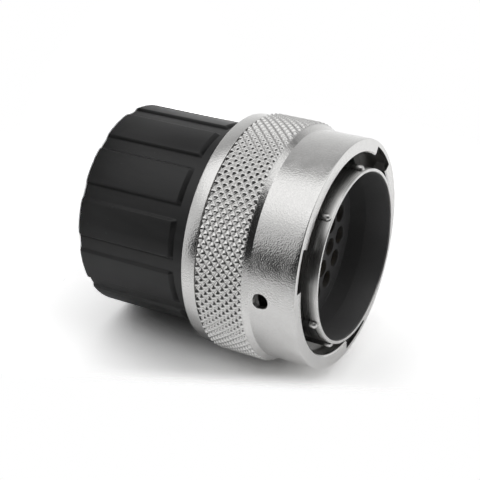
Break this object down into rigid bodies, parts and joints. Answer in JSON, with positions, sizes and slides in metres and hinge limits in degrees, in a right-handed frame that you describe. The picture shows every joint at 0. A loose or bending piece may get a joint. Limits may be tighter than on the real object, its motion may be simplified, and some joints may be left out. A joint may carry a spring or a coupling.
{
  "type": "bayonet circular connector",
  "caption": "Straight circular cable plug with a knurled bayonet coupling ring, a keyed plated shell, a recessed socket insert and a fluted black backshell.",
  "frame": {"origin": "centre of the backshell's flat rear face", "axes": "+Z along the connector's axis towards the mating end; +Y through the wide master key"},
  "size_m": [0.0462, 0.0462, 0.0488],
  "materials": {
    "ring_plate": "satin nickel plate over bead-blasted aluminium alloy",
    "shell_plate": "satin nickel plate over turned aluminium alloy",
    "moulded_black": "satin black moulded plastic with a fine grain",
    "insert_black": "matt black moulded insulator",
    "seal_rubber": "matt black rubber",
    "spring_steel": "bright spring steel",
    "contact_plate": "gold-plated copper alloy"
  },
  "bodies": {
    "plug": {"backshell": "moulded_black", "barrel_gasket": "seal_rubber", "contact_01": "contact_plate", "contact_02": "contact_plate", "contact_03": "contact_plate", "contact_04": "contact_plate", "contact_05": "contact_plate", "contact_06": "contact_plate", "contact_07": "contact_plate", "contact_08": "contact_plate", "contact_09": "contact_plate", "contact_10": "contact_plate", "contact_11": "contact_plate", "contact_12": "contact_plate", "contact_13": "contact_plate", "contact_14": "contact_plate", "contact_15": "contact_plate", "contact_16": "contact_plate", "contact_17": "contact_plate", "contact_18": "contact_plate", "contact_19": "contact_plate", "contact_20": "contact_plate", "contact_21": "contact_plate", "contact_22": "contact_plate", "contact_23": "contact_plate", "contact_24": "contact_plate", "contact_25": "contact_plate", "contact_26": "contact_plate", "contact_27": "contact_plate", "contact_28": "contact_plate", "contact_29": "contact_plate", "contact_30": "contact_plate", "contact_31": "contact_plate", "front_insert": "insert_black", "grommet_follower": "insert_black", "plug_shell": "shell_plate", "retaining_clip": "spring_steel", "wave_washer": "spring_steel", "wire_grommet": "seal_rubber"},
    "washer": {"thrust_washer": "spring_steel"},
    "ring": {"coupling_ring": "ring_plate"}
  },
  "joints": [
    {"name": "coupling_ring_turn", "type": "hinge", "parent": "plug", "child": "washer", "pos_m": [0, 0, 0.03], "axis": [0, 0, 1], "continuous": true},
    {"name": "coupling_ring_travel", "type": "slide", "parent": "washer", "child": "ring", "axis": [0, 0, 1], "range_m": [0, 0.0005], "stiffness_N_per_m": 4000, "springref_m": -0.0005, "deforming": ["wave_washer"]}
  ]
}
